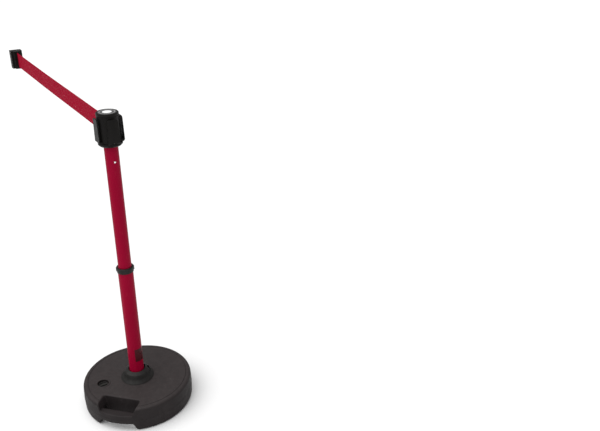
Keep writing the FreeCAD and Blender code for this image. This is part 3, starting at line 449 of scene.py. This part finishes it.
def softened(node, body, slot, width):
    """A copy of a CAD node with its sharp edges rounded, standing for it."""
    shape = bmesh.new()
    shape.from_mesh(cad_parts[node].data)
    bmesh.ops.remove_doubles(shape, verts=shape.verts, dist=WELD_DISTANCE)
    bmesh.ops.dissolve_limit(shape, angle_limit=FLAT_ANGLE, verts=shape.verts, edges=shape.edges)
    mesh = bpy.data.meshes.new(node + "_skin")
    shape.to_mesh(mesh)
    shape.free()
    if "custom_normal" in mesh.attributes:
        mesh.attributes.remove(mesh.attributes["custom_normal"])
    shade_smooth(mesh)
    piece = add_piece(node + "_skin", mesh, body, slot, node)
    bevel = piece.modifiers.new("rounded_edges", "BEVEL")
    bevel.width = width
    bevel.segments = ROUNDING_STEPS
    bevel.limit_method = "ANGLE"
    bevel.angle_limit = SHARP_ANGLE
    bevel.miter_outer = "MITER_ARC"
    normals = piece.modifiers.new("even_shading", "WEIGHTED_NORMAL")
    normals.keep_sharp = True


def both(first, second, radius):
    """Distance to where two shapes overlap, with the edge between them rounded."""
    near = np.maximum(first + radius, 0), np.maximum(second + radius, 0)
    return np.minimum(np.maximum(first, second), -radius) + np.hypot(*near)


def either(first, second, radius):
    """Distance to two shapes together, with the corner between them filled to a radius."""
    return -both(-first, -second, radius)


def without(first, second, radius):
    """Distance to the first shape with the second cut out, the cut's edge rounded."""
    return both(first, -second, radius)


SLOPE_STEP = 0.02 * MM
SETTLING_ROUNDS = 6
LEAST_STEEPNESS = 0.05  # keeps a step short where the distance hardly changes


def slopes(distance, points):
    """The direction in which the distance grows at each point."""
    slope = np.empty_like(points)
    for axis in range(3):
        shift = np.zeros(3)
        shift[axis] = SLOPE_STEP
        slope[:, axis] = distance(points + shift) - distance(points - shift)
    return slope / (2 * SLOPE_STEP)


def settle(distance, points):
    """The points moved on to the surface where the distance is nought."""
    for _ in range(SETTLING_ROUNDS):
        slope = slopes(distance, points)
        steepness = np.maximum((slope * slope).sum(1), LEAST_STEEPNESS)
        points = points - slope * (distance(points) / steepness)[:, None]
    return points


def round_grid(radii, angles, heights):
    """Corner points of a grid about the Z axis, closed on itself round the circle."""
    r, a, z = np.meshgrid(radii, np.append(angles, angles[0]), heights, indexing="ij")
    return np.stack([r * np.cos(a), r * np.sin(a), z], axis=-1)


def edge_crossings(value, corners):
    """For each cell, the sum of the points where its edges cross the surface, and their number."""
    inside = value < 0
    cells = tuple(n - 1 for n in inside.shape)
    window = [slice(0, n) for n in cells], [slice(1, n + 1) for n in cells]
    total = np.zeros(cells + (3,))
    count = np.zeros(cells)
    for axis in range(3):
        for sides in ((0, 0), (0, 1), (1, 0), (1, 1)):
            pick = list(sides)
            pick.insert(axis, 0)
            low = tuple(window[p][i] for i, p in enumerate(pick))
            pick[axis] = 1
            high = tuple(window[p][i] for i, p in enumerate(pick))
            crossed = inside[low] != inside[high]
            gap = np.where(crossed, value[low] - value[high], 1.0)
            share = (value[low] / gap)[..., None]
            point = corners[low] + share * (corners[high] - corners[low])
            total += np.where(crossed[..., None], point, 0)
            count += crossed
    return total, count


def cells_round(edges, number, first, second):
    """The numbers of the four cells round each grid edge, in order."""
    ring = []
    for back_one, back_two in ((0, 0), (1, 0), (1, 1), (0, 1)):
        cell = edges.copy()
        cell[:, first] -= back_one
        cell[:, second] -= back_two
        cell %= np.array(number.shape)
        ring.append(number[tuple(cell.T)])
    return np.stack(ring, axis=1)


def surface_quads(inside, number, closed):
    """A quad of cell numbers round each grid edge that crosses the surface, facing outward."""
    faces = []
    for axis in range(3):
        first, second = [a for a in range(3) if a != axis]
        low = [slice(None)] * 3
        high = [slice(None)] * 3
        low[axis], high[axis] = slice(0, -1), slice(1, None)
        start, end = inside[tuple(low)], inside[tuple(high)]
        right_handed = axis != 1
        for outward in (True, False):
            edges = np.argwhere(start & ~end if outward else ~start & end)
            keep = np.ones(len(edges), bool)
            for other in (first, second):
                keep &= edges[:, other] < number.shape[other]
                if other != closed:
                    keep &= edges[:, other] > 0
            quads = cells_round(edges[keep], number, first, second)
            faces.append(quads if outward == right_handed else quads[:, ::-1])
    return np.concatenate(faces)


def skin_mesh(name, distance, corners, closed):
    """Quads over the surface where the distance is nought, one point in each cell it crosses.

    The grid joins up with itself along the closed axis.
    """
    value = distance(corners.reshape(-1, 3)).reshape(corners.shape[:3])
    total, count = edge_crossings(value, corners)
    used = count > 0
    number = np.full(count.shape, -1)
    number[used] = np.arange(used.sum())
    points = settle(distance, total[used] / count[used][:, None])
    faces = surface_quads(value < 0, number, closed)
    mesh = bpy.data.meshes.new(name)
    mesh.from_pydata(points.tolist(), [], faces.tolist())
    shade_smooth(mesh)
    facing = slopes(distance, points)
    facing /= np.linalg.norm(facing, axis=1)[:, None]
    mesh.normals_split_custom_set_from_vertices(facing.tolist())
    return mesh


# ---- base ---------------------------------------------------------------------------------
BASE_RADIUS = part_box("base_shell")[1].x  # at the parting line half way up
BASE_DRAFT = 2 * MM  # how much narrower the drum is at its top and bottom
BASE_EDGE = 10 * MM
HANDLE_ANGLE = math.radians(224)
GRIP_BOTTOM = 27 * MM
GRIP_TOP = 59 * MM
GRIP_INNER = 149 * MM
SLOT_INNER = 121 * MM
SLOT_HALF = 56 * MM  # half the width of the handle's room at the grip bar
NOTCH_HALF_TOP = 65 * MM  # and at the base's top
ARCH_HALF_FLOOR = 66 * MM  # and at the floor
WELL_RADIUS = 33 * MM
NUT_RECESS = (47 * MM, 10 * MM)  # radius and height
FOOT_RECESS = (137 * MM, 3 * MM)  # radius and height
PLUG_RECESS = (18.5 * MM, 73 * MM)  # radius and floor
PLUG_RIM = (23.5 * MM, 87.5 * MM)  # radius and top
PLUG_RIM_HALF = 2 * MM  # half the height of the raised ring, most of it in the shell
NECK = (12 * MM, 57 * MM)  # radius and floor of the filling hole
RIM_GROOVE = (164 * MM, 1.3 * MM)  # middle radius and depth
PARTING_LINE = (BASE_HEIGHT / 2, 0.5 * MM)  # height and depth of the fine line round the shell
GRIP_ROUNDING = 7 * MM
CUT_CORNER = 7 * MM  # radius of the room's upright corners
BAR_END_FILLET = 4 * MM
RIM_ROUNDING = 4.5 * MM
GROOVE_ROUNDING = 0.6 * MM
PARTING_ROUNDING = 0.3 * MM
RECESS_ROUNDING = 1.5 * MM
PLUG_ROUNDING = 1.2 * MM
NECK_ROUNDING = 1 * MM
PLUG_RIM_FILLET = 1 * MM


def plug_axis():
    """A point on the fill plug's axis."""
    low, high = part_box("fill_cap")
    return (low + high) / 2


def handle_distance(points):
    """The room cut away round the grip bar: over it, behind it and under it."""
    out = points[:, 0] * math.cos(HANDLE_ANGLE) + points[:, 1] * math.sin(HANDLE_ANGLE)
    across = points[:, 1] * math.cos(HANDLE_ANGLE) - points[:, 0] * math.sin(HANDLE_ANGLE)
    z = points[:, 2]
    half = np.interp(
        z,
        (0, GRIP_BOTTOM, GRIP_TOP, BASE_HEIGHT),
        (ARCH_HALF_FLOOR, SLOT_HALF, SLOT_HALF, NOTCH_HALF_TOP),
    )
    room = both(SLOT_INNER - out, np.abs(across) - half, CUT_CORNER)
    off_bar = either(GRIP_TOP - z, out - GRIP_INNER, GRIP_ROUNDING)
    off_bar = either(off_bar, z - GRIP_BOTTOM, GRIP_ROUNDING)
    return both(room, off_bar, BAR_END_FILLET)


def base_distance(points):
    """The moulded drum with its handle, grooves and recesses."""
    radius = np.hypot(points[:, 0], points[:, 1])
    z = points[:, 2]
    off_middle = np.abs(z - BASE_HEIGHT / 2)
    wall = radius - BASE_RADIUS + BASE_DRAFT * off_middle / (BASE_HEIGHT / 2)
    drum = both(wall, off_middle - BASE_HEIGHT / 2, BASE_EDGE)
    drum = without(drum, handle_distance(points), RIM_ROUNDING)
    groove = np.hypot(radius - RIM_GROOVE[0], z - BASE_HEIGHT) - RIM_GROOVE[1]
    drum = without(drum, groove, GROOVE_ROUNDING)
    parting = np.hypot(radius - BASE_RADIUS, z - PARTING_LINE[0]) - PARTING_LINE[1]
    drum = without(drum, parting, PARTING_ROUNDING)
    for reach, top in (FOOT_RECESS, NUT_RECESS):
        drum = without(drum, np.maximum(radius - reach, z - top), RECESS_ROUNDING)
    drum = without(drum, radius - WELL_RADIUS, RECESS_ROUNDING)
    return plug_seat(drum, points)


def plug_seat(drum, points):
    """The drum with the fill plug's raised ring, recess and filling hole."""
    axis = plug_axis()
    off = np.hypot(points[:, 0] - axis.x, points[:, 1] - axis.y)
    z = points[:, 2]
    ring_height = np.abs(z - PLUG_RIM[1] + PLUG_RIM_HALF) - PLUG_RIM_HALF
    ring = both(off - PLUG_RIM[0], ring_height, PLUG_ROUNDING)
    drum = either(drum, ring, PLUG_RIM_FILLET)
    recess = both(off - PLUG_RECESS[0], PLUG_RECESS[1] - z, RECESS_ROUNDING)
    drum = without(drum, recess, PLUG_ROUNDING)
    return without(drum, np.maximum(off - NECK[0], NECK[1] - z), NECK_ROUNDING)


def spaced(*stretches):
    """Grid values over (start, end, step) stretches that follow each other."""
    values = []
    for start, end, step in stretches:
        values.extend(np.linspace(start, end, round((end - start) / step), endpoint=False))
    return np.array(values + [stretches[-1][1]])


# Stretches of the base's grid as start, end and step: finest at the grooves, plug and handle.
GRID_RADII = (  # mm
    (29.1, 50.1, 1.5), (50.1, 90.1, 4), (90.1, 140.1, 1.6), (140.1, 161.1, 2),
    (161.1, 167.1, 0.35), (167.1, 184.1, 1.4),
)
GRID_ANGLES = (  # degrees
    (0, 156, 2), (156, 184, 0.8), (184, 188, 1), (188, 260, 0.7), (260, 358, 2),
)
GRID_HEIGHTS = (  # mm
    (-2.3, 41.5, 1.6), (41.5, 44.5, 0.3), (44.5, 82.2, 1.6), (82.2, 89.4, 0.6),
)


def base_piece():
    """The whole moulded shell in one skin, standing for the CAD shell."""
    radii = spaced(*GRID_RADII) * MM
    angles = np.radians(spaced(*GRID_ANGLES))
    heights = spaced(*GRID_HEIGHTS) * MM
    corners = round_grid(radii, angles, heights)
    mesh = skin_mesh("base_moulding", base_distance, corners, closed=1)
    add_piece("base_moulding", mesh, "base", "base_plastic", "base_shell")


# ---- belt ---------------------------------------------------------------------------------
BELT_SAG = 1.2 * MM  # small enough to clear the slot when the belt is drawn in
BELT_SWAY = 0.5 * MM
SWAY_WAVES = 1.3  # along the whole belt
BELT_STATIONS = 140
BELT_RIB_DEPTH = 0.12 * MM
SELVEDGE = 2.2 * MM
POINTS_PER_RIB = 4


def belt_route():
    """Points along the belt's centreline, from the guide pins to the clip's pin."""
    low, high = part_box("belt")
    middle = (low + high) / 2
    points = []
    for index in range(BELT_STATIONS + 1):
        share = index / BELT_STATIONS
        y = low.y + (high.y - low.y) * share
        sag = BELT_SAG * 4 * share * (1 - share)
        wave = math.sin(2 * math.pi * SWAY_WAVES * share)
        sway = BELT_SWAY * wave * math.sin(math.pi * share)
        points.append(Vector((middle.x + sway, y, middle.z - sag)))
    return points


def belt_half_thickness(from_middle, half_width, half_thick):
    """Ribs of warp between two full-thickness selvedges with round edges."""
    from_edge = half_width - abs(from_middle)
    if from_edge >= SELVEDGE:
        rib = BELT_RIB_DEPTH * abs(math.sin(math.pi * from_middle / WARP_PITCH))
        return half_thick - BELT_RIB_DEPTH + rib
    if from_edge >= SELVEDGE / 2:
        return half_thick
    rounding = 1 - 2 * from_edge / SELVEDGE
    return half_thick * math.sqrt(max(0.0, 1 - rounding**2))


def belt_outline():
    """Points round the belt's cross-section, from its bottom edge up one face and down the other."""
    low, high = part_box("belt")
    half_width = (high.z - low.z) / 2
    half_thick = (high.x - low.x) / 2
    steps = round(2 * half_width / (WARP_PITCH / POINTS_PER_RIB))
    face = []
    for index in range(steps + 1):
        z = -half_width + 2 * half_width * index / steps
        face.append((belt_half_thickness(z, half_width, half_thick), z))
    return face + [(-x, z) for x, z in reversed(face[1:-1])]


def belt_mesh(route, outline):
    """The outline carried along the route, closed at both ends."""
    shape = bmesh.new()
    rings = []
    for point in route:
        rings.append([shape.verts.new((point.x + x, point.y, point.z + z)) for x, z in outline])
    count = len(outline)
    for near, far in zip(rings, rings[1:]):
        for index in range(count):
            after = (index + 1) % count
            shape.faces.new((near[index], near[after], far[after], far[index]))
    shape.faces.new(rings[0])
    shape.faces.new(reversed(rings[-1]))
    bmesh.ops.recalc_face_normals(shape, faces=shape.faces)
    mesh = bpy.data.meshes.new("belt_webbing")
    shape.to_mesh(mesh)
    shape.free()
    shade_smooth(mesh)
    return mesh


def belt_piece():
    """The belt from the head to its clip."""
    route = belt_route()
    mesh = belt_mesh(route, belt_outline())
    belt = add_piece("belt_webbing", mesh, "belt_end", "belt_webbing", "belt")
    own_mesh(belt)


# ---- lock spring --------------------------------------------------------------------------
LEAF_CUTS = 12  # along each edge of the leaf


def lock_spring_piece():
    """The folded leaf inside the spigot: its front arm goes in with the button."""
    shape = bmesh.new()
    shape.from_mesh(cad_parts["head_lock_spring"].data)
    bmesh.ops.subdivide_edges(shape, edges=shape.edges, cuts=LEAF_CUTS, use_grid_fill=True)
    bmesh.ops.triangulate(shape, faces=shape.faces)
    mesh = bpy.data.meshes.new("lock_spring_leaf")
    shape.to_mesh(mesh)
    shape.free()
    mesh.materials.clear()
    mesh.materials.append(FINISHES["spring_steel"])
    piece = bpy.data.objects.new("lock_spring_leaf", mesh)
    scene.collection.objects.link(piece)
    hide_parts("head_lock_spring")
    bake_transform(piece)


# ---- the pieces ---------------------------------------------------------------------------
def dress_cad_nodes():
    """Every CAD node takes the finish of its own material slot."""
    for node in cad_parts.values():
        for slot in node.material_slots:
            slot.material = FINISHES[slot.material.name]


SOFTENED = [  # node, body, slot, edge radius
    ("socket_insert", "base", "black_nylon", 0.7 * MM),
    ("fill_cap", "fill_plug", "fill_cap_plastic", 0.5 * MM),
    ("twist_collar", "collar", "black_nylon", 0.6 * MM),
    ("head_housing", "mast", "head_plastic", 0.6 * MM),
    ("belt_slot_bezel", "mast", "head_plastic", 0.6 * MM),
    ("receiver_left", "mast", "head_plastic", 0.8 * MM),
    ("receiver_right", "mast", "head_plastic", 0.8 * MM),
    ("receiver_front", "mast", "head_plastic", 0.8 * MM),
    ("head_cap", "mast", "head_plastic", 0.4 * MM),
    ("clip_nose", "belt_end", "head_plastic", 0.6 * MM),
    ("clip_hook", "belt_end", "head_plastic", 0.6 * MM),
    ("lower_tube", "post", "red_tube_paint", 0.35 * MM),
    ("upper_tube", "mast", "red_tube_paint", 0.35 * MM),
]

add_camera()
add_floor()
add_lights()
FINISHES = make_finishes()
dress_cad_nodes()
base_piece()
for node, body, slot, width in SOFTENED:
    softened(node, body, slot, width)
belt_piece()
lock_spring_piece()
